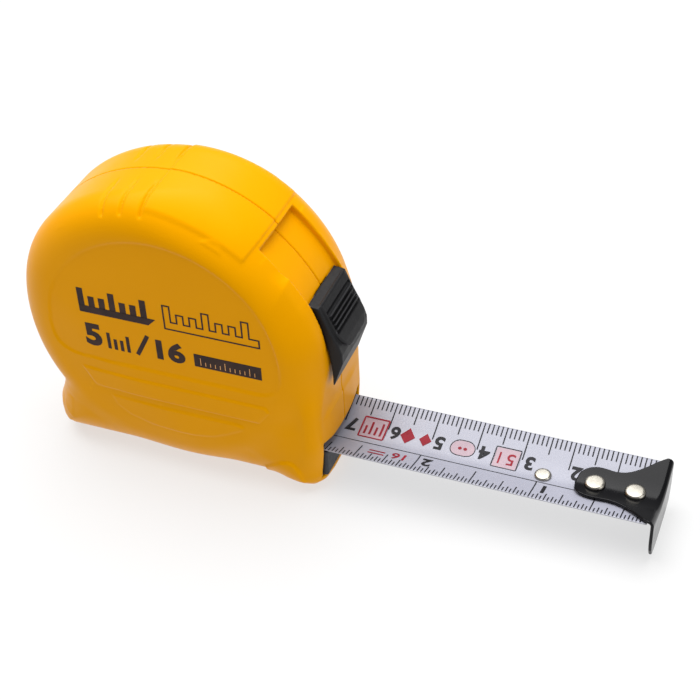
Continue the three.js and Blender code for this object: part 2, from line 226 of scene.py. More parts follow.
def field_piece(name, field, lo, hi, step, material, body, replaces=()):
    co, faces = nets(field, lo, hi, step if FINE else step * 1.5)
    return add_mesh(name, co, faces, material, body, replaces)


def turned(profile, centre, axis, n=48):
    """Closed solid of revolution; profile is (radius, height) from axis to axis."""
    z = np.array(axis, float)
    x = np.array([z[1], z[2], z[0]])
    y = np.cross(z, x)
    co, faces = [np.array(centre) + z * profile[0][1]], []
    rings = profile[1:-1]
    for r, h in rings:
        for i in range(n):
            a = 2 * math.pi * i / n
            co.append(np.array(centre) + z * h + r * (x * math.cos(a) + y * math.sin(a)))
    co.append(np.array(centre) + z * profile[-1][1])
    last = len(co) - 1
    for i in range(n):
        j = (i + 1) % n
        faces.append((0, 1 + j, 1 + i))
        for k in range(len(rings) - 1):
            a, b = 1 + k * n, 1 + (k + 1) * n
            faces.append((a + i, a + j, b + j, b + i))
        a = 1 + (len(rings) - 1) * n
        faces.append((a + i, a + j, last))
    return co, faces


# ---------------------------------------------------------------- materials
def new_material(name):
    m = bpy.data.materials.new(name)
    m.use_nodes = True
    nt = m.node_tree
    bsdf = nt.nodes["Principled BSDF"]
    coord = nt.nodes.new("ShaderNodeTexCoord")
    return m, nt, bsdf, coord.outputs["Object"]


def noise(nt, vector, scale, detail=3.0, roughness=0.55):
    n = nt.nodes.new("ShaderNodeTexNoise")
    n.inputs["Scale"].default_value = scale
    n.inputs["Detail"].default_value = detail
    n.inputs["Roughness"].default_value = roughness
    nt.links.new(vector, n.inputs["Vector"])
    return n.outputs["Fac"]


def ramp(nt, fac, stops):
    r = nt.nodes.new("ShaderNodeValToRGB")
    el = r.color_ramp.elements
    while len(el) < len(stops):
        el.new(0.5)
    for e, (pos, col) in zip(el, stops):
        e.position = pos
        e.color = (*col, 1.0) if len(col) == 3 else col
    nt.links.new(fac, r.inputs["Fac"])
    return r.outputs["Color"]


def mix_colour(nt, fac, a, b):
    m = nt.nodes.new("ShaderNodeMix")
    m.data_type = "RGBA"
    for s, v in ((0, fac), (6, a), (7, b)):
        if hasattr(v, "is_output"):
            nt.links.new(v, m.inputs[s])
        else:
            m.inputs[s].default_value = v
    return m.outputs[2]


def edge_mask(nt, low, high):
    g = nt.nodes.new("ShaderNodeNewGeometry")
    return ramp(nt, g.outputs["Pointiness"], [(low, (0, 0, 0)), (high, (1, 1, 1))])


def bump(nt, bsdf, height, strength, distance):
    b = nt.nodes.new("ShaderNodeBump")
    b.inputs["Strength"].default_value = strength
    b.inputs["Distance"].default_value = distance
    nt.links.new(height, b.inputs["Height"])
    nt.links.new(b.outputs["Normal"], bsdf.inputs["Normal"])


def moulded(name, dark, light, rough, grain, depth, painted_edge_highlight=None, spec=0.5, tint=None, mottle=18.0):
    """Plastic, rubber, paint or ink: mottled colour, uneven gloss, fine grain, painted edge
    highlights.
    """
    m, nt, bsdf, at = new_material(name)
    colour = ramp(nt, noise(nt, at, mottle, 4), [(0.3, dark), (0.7, light)])
    # painted highlight: sharp convex edges are coloured lighter, standing in for light caught on
    # them
    if painted_edge_highlight:
        colour = mix_colour(nt, edge_mask(nt, painted_edge_highlight[0], painted_edge_highlight[1]), colour, (*painted_edge_highlight[2], 1))
    nt.links.new(colour, bsdf.inputs["Base Color"])
    r0, r1 = rough
    gloss = ramp(nt, noise(nt, at, mottle * 7, 5), [(0.25, (r0,) * 3), (0.75, (r1,) * 3)])
    nt.links.new(gloss, bsdf.inputs["Roughness"])
    bump(nt, bsdf, noise(nt, at, grain, 2, 0.5), depth, 0.0001)
    bsdf.inputs["Specular IOR Level"].default_value = spec
    if tint:
        bsdf.inputs["Specular Tint"].default_value = (*tint, 1)
    return m


def metal(name, dark, light, rough, grain=1400.0, depth=0.1, stretch=(1, 1, 1)):
    """Bare or plated metal with fine brushed grain."""
    m, nt, bsdf, at = new_material(name)
    bsdf.inputs["Metallic"].default_value = 1.0
    scale = nt.nodes.new("ShaderNodeMapping")
    scale.inputs["Scale"].default_value = stretch
    nt.links.new(at, scale.inputs["Vector"])
    v = scale.outputs["Vector"]
    colour = ramp(nt, noise(nt, v, 260, 4), [(0.3, dark), (0.7, light)])
    nt.links.new(colour, bsdf.inputs["Base Color"])
    gloss = ramp(nt, noise(nt, v, 700, 3), [(0.3, (rough[0],) * 3), (0.7, (rough[1],) * 3)])
    nt.links.new(gloss, bsdf.inputs["Roughness"])
    bump(nt, bsdf, noise(nt, v, grain, 2), depth, 0.0001)
    return m


# the last colour in each edge tuple is a painted highlight, laid on sharp convex edges
YELLOW = moulded("yellow_abs", (0.74, 0.305, 0.0), (0.80, 0.335, 0.0), (0.30, 0.40), 900, 0.08,
                 painted_edge_highlight=(0.53, 0.80, (0.84, 0.37, 0.0)), spec=0.12, tint=(1.0, 0.7, 0.0))
LOCK_BLACK = moulded("black_lock_plastic", (0.004, 0.004, 0.005), (0.009, 0.009, 0.010),
                     (0.42, 0.55), 1700, 0.35, painted_edge_highlight=(0.53, 0.66, (0.05, 0.05, 0.055)),
                     spec=0.22, mottle=90)
RUBBER = moulded("black_bumper_rubber", (0.010, 0.010, 0.014), (0.022, 0.023, 0.030), (0.5, 0.65),
                 1300, 0.3, painted_edge_highlight=(0.53, 0.66, (0.05, 0.05, 0.06)), mottle=120)
HOOK_BLACK = moulded("black_enamel_steel", (0.003, 0.003, 0.004), (0.007, 0.007, 0.008),
                     (0.12, 0.2), 420, 0.12, painted_edge_highlight=(0.56, 0.72, (0.03, 0.03, 0.032)),
                     spec=0.16, mottle=60)
BLADE_FACE = moulded("blade_lacquer", (0.30, 0.305, 0.365), (0.34, 0.345, 0.41), (0.25, 0.36),
                     700, 0.05, painted_edge_highlight=(0.55, 0.7, (0.55, 0.55, 0.57)), mottle=35)
PRINT_DARK = moulded("print_dark_brown", (0.022, 0.010, 0.008), (0.045, 0.02, 0.015), (0.5, 0.6),
                     2200, 0.1, spec=0.2, mottle=300)
PRINT_BLACK = moulded("print_black", (0.006, 0.006, 0.008), (0.016, 0.016, 0.020), (0.5, 0.6),
                      2200, 0.1, spec=0.2, mottle=300)
PRINT_RED = moulded("print_red", (0.20, 0.004, 0.014), (0.30, 0.012, 0.026), (0.5, 0.6),
                    2200, 0.1, spec=0.2, mottle=300)
PRINT_PINK = moulded("print_pink", (0.37, 0.27, 0.315), (0.43, 0.32, 0.36), (0.3, 0.42),
                     2200, 0.06, spec=0.3, mottle=300)
PRINT_PALE = moulded("print_pale_orange", (0.80, 0.36, 0.10), (0.88, 0.45, 0.15), (0.4, 0.5),
                     2200, 0.15, mottle=300)
NICKEL = metal("nickel", (0.33, 0.31, 0.27), (0.42, 0.40, 0.35), (0.24, 0.34), depth=0.04)
STEEL = metal("plated_steel", (0.42, 0.43, 0.45), (0.58, 0.59, 0.61), (0.24, 0.38),
              stretch=(1, 1, 0.12))
SPRING = metal("spring_steel", (0.14, 0.16, 0.22), (0.26, 0.28, 0.34), (0.25, 0.4),
               stretch=(1, 0.1, 1))
WHITE = moulded("white_plastic", (0.66, 0.64, 0.58), (0.76, 0.74, 0.69), (0.45, 0.6), 900, 0.15,
                painted_edge_highlight=(0.53, 0.65, (0.82, 0.80, 0.76)))
COIL = moulded("coil_edges", (0.28, 0.28, 0.31), (0.44, 0.44, 0.48), (0.3, 0.45), 1500, 0.3,
               mottle=160)

# pieces inside the case keep their CAD shape
INSIDE = {
    "spindle": STEEL, "reel_drum": WHITE, "reel_disc": WHITE, "blade_coil": COIL,
    "power_spring": SPRING, "brake_arm": LOCK_BLACK, "brake_shoe": RUBBER,
}
for name, material in INSIDE.items():
    NODES[name].data.materials.clear()
    NODES[name].data.materials.append(material)

# ---------------------------------------------------------------- case
# side views, as (x, z) points
REAR_WAIST = [(-20, 26), (-26.0, 20.5), (-28.3, 17.3), (-29.3, 15.3), (-29.6, 13.6), (-30.4, 11.2),
              (-31.4, 9.0), (-31.8, 6.9), (-31.8, 4.4), (-31.2, 2.4), (-29.8, 0.8), (-27.0, 0.0)]
TOE = [(32.0, 0.5), (33.4, 1.8), (34, 4)]
BROW = smooth([(34.3, 26), (34.9, 33.1), (34.8, 37.1), (34.4, 40.9), (33.4, 45), (31.9, 48.6),
               (28, 53.5)], 3, False)
BASE_OUTLINE = outline([*REAR_WAIST, (30, 0), *TOE, (34, 19), (28, 26)])
FRONT_OUTLINE = outline([(6, 22), (18, 8), (25, 1.6), (28.5, 0), (30, 0), *TOE, (34, 20.7), *BROW,
                         (10, 50), (0, 40)])
BAND_1 = outline([(-19.4, 24.4), (23.6, 24.4), (24.3, 23.2), (21.8, 19.8), (-16.6, 19.8),
                  (-17.6, 21.2)])
BAND_2 = outline([(-13.1, 18.0), (16.9, 18.0), (18.1, 17.5), (17.6, 16.6), (14.1, 14.5),
                  (10.5, 12.9), (6.5, 12.1), (2.5, 11.9), (-4.0, 12.2), (-9.0, 13.4),
                  (-12.2, 15.6)])
ARCH = outline([(20.6, 3.0), (21.1, 5.4), (22.7, 6.9), (25.0, 8.6), (27.1, 9.2), (28.4, 8.4),
                (29.5, 6.4), (30.4, 3.0)])


FIELD_CENTRE, FIELD_R, FIELD_LOW = (1.1, 34.1), 26.3, 27.5     # recessed label field
CROWN_FROM, CROWN_TO = 50.0, 90.5  # raised pad over the front of the crown, degrees about the axle
GRIPS = (91.5, 99.5, 107.5)        # grip grooves behind it


def face_at(x, z):
    """Half thickness of the round body: it thins towards the lower rear and the bottom."""
    rear = step01(10, 28, -0.75 * x - 0.66 * (z - AXLE[1]))
    return CASE_FACE - 1.0 * rear - 1.5 * (1 - step01(0, 13, z))


def case_outer(x, y, z):
    """Outside of the closed case: round disc, straight base and nose, blended into each other."""
    ay = np.abs(y)
    r = np.hypot(x, z - AXLE[1])
    face = face_at(x, z)
    angle = np.degrees(np.arctan2(z - AXLE[1], x))
    front = step01(-5, 20, angle) * (1 - step01(60, 100, angle))
    near, far = front * step01(0, -2, y), front * step01(0, 2, y)
    rim = RIM - 1.2 * far
    rim_y = rim * (1 + 0.85 * near)                      # the rim is longer across than it is deep
    swell = 0.5 * np.exp(-((angle - 142) / 20) ** 2)
    disc = plate(r - CASE_R - swell, (ay - face) * rim / rim_y, rim)
    low = 1 - step01(0.0, 14.0, z)
    base = plate(BASE_OUTLINE(x, z), ay - BASE_HALF + 0.9 * low, 9.3)
    nose_edge = 3.4 + 2.0 * (1 - step01(4.0, 14.0, z)) + 3.5 * step01(20.0, 34.0, z)
    nose_half = NOSE_HALF - 2.5 * step01(36.0, 50.0, z) - 0.6 * low
    nose = plate(FRONT_OUTLINE(x, z), ay - nose_half, nose_edge)
    blend = 1.6 + 3.0 * step01(30.0, 45.0, z) * step01(-6.0, -11.0, y)
    d = smin(smin(disc, base, 1.6), nose, blend)
    # label field, raised bands, arch over the front corner
    round_part = np.hypot(x - FIELD_CENTRE[0], z - FIELD_CENTRE[1]) - FIELD_R
    field = smax(round_part, FIELD_LOW - z, 5.0)
    d = smax(d, -smax(field, face - STEP - ay, 0.25), 0.25)
    for band in (BAND_1, BAND_2):
        d = smin(d, plate(band(x, z), ay - face - STEP, 0.28), 0.25)
    d = d - 0.45 * (1 - step01(-0.3, 0.3, ARCH(x, z))) * step01(8.0, 9.5, ay)
    # crown: slightly raised pad, and three grip grooves behind it
    pad = step01(CROWN_FROM, CROWN_FROM + 0.6, angle)
    pad = pad * (1 - step01(CROWN_TO - 0.3, CROWN_TO + 0.3, angle)) * (1 - step01(11.7, 12.9, ay))
    pad = pad * step01(30.5, 31.5, r)
    d = d - 0.25 * pad
    across = step01(2.5, 7.0, ay) * (1 - step01(12.8, 13.8, ay))
    for a in GRIPS:
        d = d + 0.45 * across * np.exp(-((angle - a) * 0.59 / 0.36) ** 2)
    return d


def cylinder(x, z, centre, r):
    return np.hypot(x - centre[0], z - centre[1]) - r


def beyond(x, z, low, top):
    """Distances past two rays from the track's centre, at degrees: over top and under low."""
    low, top = math.radians(low), math.radians(top)
    above = (z - TRACK[1]) * math.cos(top) - (x - TRACK[0]) * math.sin(top)
    below = (x - TRACK[0]) * math.sin(low) - (z - TRACK[1]) * math.cos(low)
    return above, below


def case_field(x, y, z, far):
    """One shell of the case; collars for the screws' heads are in the far one only."""
    ay = np.abs(y)
    outer = case_outer(x, y, z)
    around = np.hypot(x - TRACK[0], z - TRACK[1])
    cavity = smax(outer + WALL, np.minimum(around - 36.9, np.maximum(15.0 - x, z - 18.0)), 0.6)
    d = np.maximum(outer, -cavity)
    for c in SCREWS:
        post = np.maximum(np.maximum(cylinder(x, z, c, BOSS_R), ay - 13.2), outer)
        d = smin(d, post, 0.4)
        if far:
            collar = np.maximum(np.maximum(cylinder(x, z, c, COLLAR_R), 9.9 - y), outer)
            d = smin(d, collar, 0.4)
    # thumb lock's track, and the slot its neck runs in
    above, below = beyond(x, z, TRACK_LOW, TRACK_TOP)
    groove = smax(smax(smax(TRACK_R - around, ay - TRACK_HALF, 0.3), above, 0.3), below, 0.3)
    d = smax(d, -groove, 0.3)
    above, below = beyond(x, z, SLOT_FROM, SLOT_TO)
    slot = np.maximum(np.maximum(36.0 - around, ay - SLOT_HALF), np.maximum(above, below))
    d = np.maximum(d, -slot)
    # mouth
    ceiling = z - MOUTH_TOP - MOUTH_RISE * (y / MOUTH_HALF) ** 2
    mouth = smax(smax(ay - MOUTH_HALF, ceiling, 0.5), MOUTH_FLOOR - z, 0.5)
    d = smax(d, -np.maximum(mouth, 26.0 - x), 0.5)
    # seats of the spindle and the screws
    d = np.maximum(d, -np.maximum(cylinder(x, z, AXLE, SPINDLE_SEAT), ay - 14.5))
    for c in SCREWS:
        if far:
            d = smax(d, -np.maximum(cylinder(x, z, c, 2.9), 11.2 - y), 0.3)
            d = np.maximum(d, -cylinder(x, z, c, 1.6))
        else:
            d = np.maximum(d, -np.maximum(cylinder(x, z, c, 1.5), -8.2 - y))
    if far:
        d = np.maximum(d, -np.maximum(cylinder(x, z, CLIP_SCREW, 1.5), 12.0 - y))
        return smax(d, SEAM[1] - y, 0.15)
    return smax(d, y - SEAM[0], 0.15)


CASE_STEP = 0.36                   # of the grid
field_piece("case_near_skin", lambda x, y, z: case_field(x, y, z, False), (-34.6, -16.4, -0.8),
            (36.2, 0.9, 69.2), CASE_STEP, YELLOW, "case", ["case_shell_near"])
field_piece("case_far_skin", lambda x, y, z: case_field(x, y, z, True), (-34.6, 0.1, -0.8),
            (36.2, 16.4, 69.2), CASE_STEP, YELLOW, "case", ["case_shell_far"])


def bumper_field(x, y, z):
    """Block under the blade, with a channel that lets the rivets by."""
    top = CUP_COS * (z - blade_height(y, -0.3))
    block = plate(plate(np.abs(x - 32.75) - 1.55, np.abs(y) - 9.9, 0.5), 3.6 - z, 0.4)
    d = smax(block, top, 0.4)
    return smax(d, -np.maximum(np.abs(y) - 2.3, 6.4 - z), 0.3)


field_piece("mouth_bumper_skin", bumper_field, (30.6, -10.5, 2.0), (35.0, 10.5, 12.0), 0.22, RUBBER,
            "case", ["mouth_bumper"])

# ---------------------------------------------------------------- thumb lock
def track_arc(r, a0, a1, n=12):
    return [(TRACK[0] + r * math.cos(math.radians(a)), TRACK[1] + r * math.sin(math.radians(a)))
            for a in np.linspace(a0, a1, n)]


LOCK_BODY = outline([(31.3, 46.8), (33.4, 46.5), (34.1, 44.9), (35.7, 41.0), (37.3, 37.6),
                     (37.9, 35.6), (37.9, 33.4), (36.7, 30.0), (35.8, 27.3),
                     *track_arc(TRACK_R + 0.3, -1.4, 28.3)])
GRIP = outline([(33.2, 46.7), (33.7, 46.5), (34.7, 44.6), (36.4, 41.0), (38.0, 38.0), (38.6, 36.4),
                (38.6, 35.6), (37.6, 35.2), (33.0, 44.0)])
GRIP_HALF = [(6.6, 60), (6.6, 40.2), (6.2, 38.6), (5.3, 37.2), (4.0, 36.1), (2.5, 35.5)]
GRIP_FRONT = outline([(-y, z) for y, z in GRIP_HALF] + GRIP_HALF[::-1])
GROOVES = [(34.75, 44.5), (35.25, 43.5), (35.7, 42.5), (36.15, 41.5), (36.65, 40.45)]
RIBS = [(34.9, 44.0), (35.4, 43.0), (35.85, 42.0), (36.3, 41.0)]


def lock_field(x, y, z):
    """Wedge in the track, ribbed thumb grip on top, neck through the slot."""
    ay = np.abs(y)
    grip = plate(GRIP(x, z), GRIP_FRONT(y, z), 0.35)
    d = smin(plate(LOCK_BODY(x, z), ay - 7.4, 0.35), grip, 0.25)
    for c in RIBS:
        d = smin(d, plate(cylinder(x, z, c, 0.5), ay - 5.9, 0.35), 0.15)
    for c in GROOVES:
        d = smax(d, -plate(cylinder(x, z, c, 0.48), ay - 6.1, 0.3), 0.12)
    around = np.hypot(x - TRACK[0], z - TRACK[1])
    a = np.degrees(np.arctan2(z - TRACK[1], x - TRACK[0]))
    depth = np.abs(around - NECK_R) - NECK_DEPTH / 2
    ends = (np.abs(a - NECK_AT) - NECK_SPAN / 2) * 0.65  # degrees to millimetres, at NECK_R
    neck = np.maximum(np.maximum(depth, ay - NECK_HALF), ends)
    return smin(d, neck, 0.3)


field_piece("thumb_lock_skin", lock_field, (30.6, -8.0, 26.4), (39.4, 8.0, 48.2), 0.17, LOCK_BLACK,
            "lock", ["thumb_lock"])

# ---------------------------------------------------------------- hook
SIDE = smooth([(86.0, 2.4), (87.0, 3.6), (88.6, 4.4), (90.5, 4.6), (93.5, 4.4), (96.0, 5.0),
               (98.6, 6.6), (101.0, 8.6), (102.6, 9.7)], 3, False)
TONGUE = outline([(85.6, 0), *SIDE, (104.0, 10), (107, 10), (107, -10), (104.0, -10),
                  *[(x, -y) for x, y in reversed(SIDE)]])
FLANGE_SIDE = [(10, 20), (10, 6.0), (9.4, 3.4), (8.4, 1.4), (5.6, 0.5)]
FLANGE = outline([*FLANGE_SIDE, (0, 0.25), *[(-y, z) for y, z in reversed(FLANGE_SIDE)]])


def hook_field(x, y, z):
    """Bent sheet: the tongue follows the blade's section, the flange hangs from its end."""
    half = HOOK_SHEET / 2
    above = CUP_COS * (z - blade_height(y, 0.9))
    sheet = np.abs(plate(x - HOOK_FLANGE_X, above, 0.95)) - half
    d = smax(sheet, TONGUE(x, y), half)
    return smax(d, FLANGE(y, z), half)


field_piece("end_hook_skin", hook_field, (84.8, -10.8, -0.4), (105.0, 10.8, 14.0), 0.2, HOOK_BLACK,
            "hook", ["end_hook"])


def rivet(name, node, x, base, r):
    """Low domed head over the blade, its shank, and the button it closes under the blade."""
    h = 0.34 * r
    dome = [(0, h), (0.35 * r, h * 0.99), (0.66 * r, h * 0.96), (0.80 * r, h * 0.94),
            (0.90 * r, h * 0.82), (0.97 * r, h * 0.5), (r, h * 0.2), (r, 0), (0.92 * r, -0.08),
            (0.9, -0.08)]
    button = [(0.9, 7.6), (0.7 * r, 7.6), (0.8 * r, 7.5), (0.8 * r, 7.2), (0.7 * r, 7.0), (0, 7.0)]
    profile = [(a, base + b) for a, b in dome] + button
    co, faces = turned(profile[::-1], (x, 0, 0), (0, 0, 1))
    add_mesh(name, co, faces, NICKEL, "drawn_blade", [node])


for i, x in enumerate(HOOK_RIVETS):
    rivet(f"hook_rivet_dome_{i + 1}", f"hook_rivet_{i + 1}", x, HOOK_RIVET_Z, HOOK_RIVET_R)
rivet("blade_rivet_dome", "blade_rivet", BLADE_RIVET, BLADE_RIVET_Z, BLADE_RIVET_R)


def blade_strip():
    """The cupped strip as a closed skin: rings of points across it, capped at both ends."""
    nx, ny = (90, 36) if FINE else (40, 20)
    xs = np.linspace(BLADE_X0, BLADE_X1, nx)
    ring = []
    ys = np.linspace(-BLADE_HALF, BLADE_HALF, ny)
    ring += [(y, blade_height(y, BLADE_T)) for y in ys]
    ring.append((BLADE_HALF + 0.05, blade_height(BLADE_HALF, BLADE_T / 2)))
    ring += [(y, blade_height(y)) for y in ys[::-1]]
    ring.append((-BLADE_HALF - 0.05, blade_height(BLADE_HALF, BLADE_T / 2)))
    n = len(ring)
    co = [(x, y, z) for x in xs for y, z in ring]
    faces = [(i * n + j, (i + 1) * n + j, (i + 1) * n + (j + 1) % n, i * n + (j + 1) % n)
             for i in range(nx - 1) for j in range(n)]
    for i, order in ((0, 1), (nx - 1, -1)):
        cap = [i * n + j for j in range(n)]
        half = ny + 1
        for j in range(ny - 1):
            quad = (cap[j], cap[j + 1], cap[2 * ny - 1 - j], cap[2 * ny - j])
            faces.append(quad if order > 0 else quad[::-1])
        faces.append((cap[ny - 1], cap[ny], cap[ny + 1])[::order])
        faces.append((cap[0], cap[2 * ny], cap[2 * ny + 1])[::order])
    return co, faces


co, faces = blade_strip()
strip = add_mesh("blade_skin", co, faces, BLADE_FACE, "drawn_blade", ["blade"])
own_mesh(strip)


# ---------------------------------------------------------------- printing
def glyphs(text, height, width=None, bold=0.0):
    """Flat triangles of a number: points with x to the right and y up, centred."""
    cu = bpy.data.curves.new("glyph", "FONT")
    cu.body = text
    cu.size = 1.0
    cu.offset = bold
    cu.resolution_u = 4
    o = bpy.data.objects.new("glyph", cu)
    bpy.context.scene.collection.objects.link(o)
    me = o.evaluated_get(bpy.context.evaluated_depsgraph_get()).to_mesh()
    co = np.array([v.co[:2] for v in me.vertices], float)
    faces = [list(p.vertices) for p in me.polygons]
    o.evaluated_get(bpy.context.evaluated_depsgraph_get()).to_mesh_clear()
    bpy.data.objects.remove(o)
    bpy.data.curves.remove(cu)
    lo, hi = co.min(0), co.max(0)
    size = hi - lo
    co = (co - (lo + hi) / 2) * (height / size[1])
    if width:
        co[:, 0] *= width / (co[:, 0].max() - co[:, 0].min())
    return co, faces


class Sheet:
    """Thin printing collected in one flat frame, then laid on a surface.

    Each point is (across, up, layer)."""

    def __init__(self):
        self.co, self.faces, self.mats = [], [], []

    def add(self, co, faces, mat=0, layer=1):
        base = len(self.co)
        self.co += [(p[0], p[1], layer) for p in co]
        self.faces += [[base + i for i in f] for f in faces]
        self.mats += [mat] * len(faces)

    def line(self, a, b, width, mat=0, pieces=1):
        a, b = np.array(a, float), np.array(b, float)
        t = (b - a) / np.linalg.norm(b - a)
        n = np.array([-t[1], t[0]]) * width / 2
        pts = []
        for i in range(pieces + 1):
            c = a + (b - a) * i / pieces
            pts += [c - n, c + n]
        self.add(pts, [(2 * i, 2 * i + 2, 2 * i + 3, 2 * i + 1) for i in range(pieces)], mat)

    def loop(self, pts, width, mat=0):
        """Outline of constant width along a closed chain."""
        p = np.array(pts, float)
        t1, t0 = np.roll(p, -1, 0) - p, p - np.roll(p, 1, 0)
        t1 /= np.linalg.norm(t1, axis=1)[:, None]
        t0 /= np.linalg.norm(t0, axis=1)[:, None]
        n1, n0 = np.stack([-t1[:, 1], t1[:, 0]], 1), np.stack([-t0[:, 1], t0[:, 0]], 1)
        m = n1 + n0
        m /= np.maximum((m * n1).sum(1), 0.3)[:, None]
        co = np.concatenate([p - m * width / 2, p + m * width / 2])
        k = len(p)
        self.add(co, [(i, (i + 1) % k, k + (i + 1) % k, k + i) for i in range(k)], mat)

    def polygon(self, pts, mat=0, layer=1):
        self.add(pts, [list(range(len(pts)))], mat, layer)

    def fill(self, pts, mat=0, layer=0, rows=10):
        """A convex outline filled in rows, so that it can follow a curve."""
        p = np.array(pts, float)
        q = np.roll(p, -1, 0)
        ys = np.linspace(p[:, 1].min(), p[:, 1].max(), rows + 1)
        ys[0], ys[-1] = ys[0] + 1e-3, ys[-1] - 1e-3
        out = []
        for y in ys:
            low, high = np.minimum(p[:, 1], q[:, 1]), np.maximum(p[:, 1], q[:, 1])
            hit = (low <= y) & (high >= y) & (low != high)
            t = (y - p[hit, 1]) / (q[hit, 1] - p[hit, 1])
            xs = p[hit, 0] + t * (q[hit, 0] - p[hit, 0])
            out += [(xs.min(), y), (xs.max(), y)]
        self.add(out, [(2 * i, 2 * i + 1, 2 * i + 3, 2 * i + 2) for i in range(rows)], mat, layer)

    def number(self, text, centre, height, turn=0, width=None, bold=0.0, mat=0):
        co, faces = glyphs(text, height, width, bold)
        if turn:
            co = -co
        self.add(co + np.array(centre), faces, mat)


def rounded(cx, cy, a, b, corner):
    """Closed chain round a rectangle of half sizes a and b."""
    out = []
    for sx, sy, t0 in ((1, 1, 0), (-1, 1, 90), (-1, -1, 180), (1, -1, 270)):
        for t in np.radians(np.linspace(t0, t0 + 90, 7)):
            x = cx + sx * (a - corner) + corner * math.cos(t)
            y = cy + sy * (b - corner) + corner * math.sin(t)
            out.append((x, y))
    return out


def blade_print():
    """Scales and plain marks on the blade, lying on its curved top and riding on the drawn blade.
    """
    s = Sheet()
    edge = BLADE_HALF - 0.08
    # millimetres along the far edge, and 32nds of an inch along the near edge
    for mm in range(2, 101):
        x = ZERO_X - mm
        length = 6.4 if mm % 10 == 0 else 4.0 if mm % 5 == 0 else 2.3
        s.line((x, edge), (x, edge - length), 0.27, pieces=4)
    lengths = ((32, 7.1), (16, 5.7), (8, 4.2), (4, 3.0), (2, 2.3), (1, 1.7))
    for k in range(3, 128):
        x = ZERO_X - INCH * k / 32
        if x < BLADE_X0 + 1:
            break
        length = next(v for n, v in lengths if k % n == 0)
        s.line((x, -edge), (x, -edge + length), 0.25, pieces=4)
    s.line((BLADE_X0 + 0.5, -2.25), (BLADE_X1 - 1.6, -2.25), 0.2, pieces=30)
    for cm in range(1, 10):
        s.number(str(cm), (ZERO_X - 10 * cm + 1.75, 2.4), 3.5, 1, bold=0.035)
    for inch in range(1, 4):
        s.number(str(inch), (ZERO_X - INCH * inch + 2.1, -4.9), 3.3, 1, bold=0.035)
    # boxed and red marks of a plain kind
    s.fill(rounded(40.4, 2.3, 2.75, 2.6, 0.15), 2)
    s.loop(rounded(40.4, 2.3, 2.8, 2.65, 0.2), 0.36, 1)
    for i in range(4):
        s.line((38.6 + 1.2 * i, 0.6), (38.6 + 1.2 * i, 4.0 if i % 2 else 2.9), 0.5, 1, 4)
    s.fill([(46.4, 2.4), (48.1, 0.3), (49.8, 2.4), (48.1, 4.5)], 1, 1)
    s.fill([(50.7, 2.4), (52.1, 0.7), (53.5, 2.4), (52.1, 4.1)], 1, 1)
    s.fill(rounded(60.5, 2.4, 2.6, 1.9, 1.85), 2)
    s.loop(rounded(60.5, 2.4, 2.7, 2.0, 1.95), 0.18, 0)
    for i in (-0.6, 0.6):
        s.fill(rounded(60.5 + i, 2.4, 0.42, 0.42, 0.4), 1, 1, 4)
    s.fill(rounded(70.2, 2.2, 2.6, 2.5, 0.15), 2)
    s.loop(rounded(70.2, 2.2, 2.75, 2.65, 0.2), 0.2, 0)
    s.number("5", (71.2, 2.2), 3.0, 1, bold=0.01, mat=1)
    s.line((68.7, 0.7), (68.7, 3.7), 0.4, 1, 4)
    s.number("16", (48.6, -5.1), 2.8, 1, bold=0.02, mat=1)
    for y in (-6.0, -4.8):
        s.line((45.6, y), (42.0, y), 0.45, 1, 2)
    co = [(x, y, blade_height(y, BLADE_T + 0.02 + 0.03 * layer)) for x, y, layer in s.co]
    o = add_mesh("blade_markings", co, s.faces, [PRINT_BLACK, PRINT_RED, PRINT_PINK], "drawn_blade",
                 flat=True)
    o.data.polygons.foreach_set("material_index", s.mats)
    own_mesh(o)


blade_print()


def side_print():
    """Graphics on the label field: a ruler motif, the tape's two lengths, a dark bar."""
    s = Sheet()
    # ruler motif: solid on the left, outlined on the right
    s.polygon([(-17.3, 39.8), (-1.4, 39.8), (0.4, 41.6), (-17.3, 41.6)])
    for i in range(7):
        x, top = -17.3 + 2.4 * i, 46.0 if i % 3 == 0 else 44.2
        s.polygon([(x, 41.5), (x + 1.45, 41.5), (x + 1.45, top), (x, top)])
    teeth = [(2.4, 39.9)]
    for i in range(7):
        x, top = 2.4 + 2.9 * i, 45.8 if i % 3 == 0 else 44.0
        teeth += [(x, top), (x + 1.5, top), (x + 1.5, 41.8), (x + 2.9, 41.8)]
    teeth[-1] = (23.4, 41.8)
    teeth += [(23.4, 39.9)]
    s.loop(teeth[::-1], 0.36)
    s.number("5", (-15.1, 34.0), 6.0, width=4.0, bold=0.045)
    for i in range(4):
        s.line((-11.5 + 1.5 * i, 31.2), (-11.5 + 1.5 * i, 35.4 if i % 3 == 0 else 34.0), 0.8)
    s.line((-5.0, 31.2), (-2.1, 36.8), 0.95)
    s.number("16", (2.9, 33.9), 5.3, width=6.6, bold=0.045)
    s.polygon([(8.2, 31.5), (23.3, 31.5), (23.3, 34.8), (8.2, 34.8)])
    for i in range(12):
        x, top = 9.6 + 1.1 * i, 33.9 if i % 5 == 0 else 33.0
        s.polygon([(x, 32.0), (x + 0.14, 32.0), (x + 0.14, top), (x, top)], 1, 2)
    co = [(x, -float(face_at(x, z)) + STEP - 0.02 - 0.02 * layer, z) for x, z, layer in s.co]
    o = add_mesh("side_graphics", co, s.faces, [PRINT_DARK, PRINT_PALE], "case",
                 flat=True)
    o.data.polygons.foreach_set("material_index", s.mats)


side_print()


# ---------------------------------------------------------------- belt clip and screws
CLIP_HALF_SHEET, CLIP_HALF_WIDTH = 0.45, 7.5


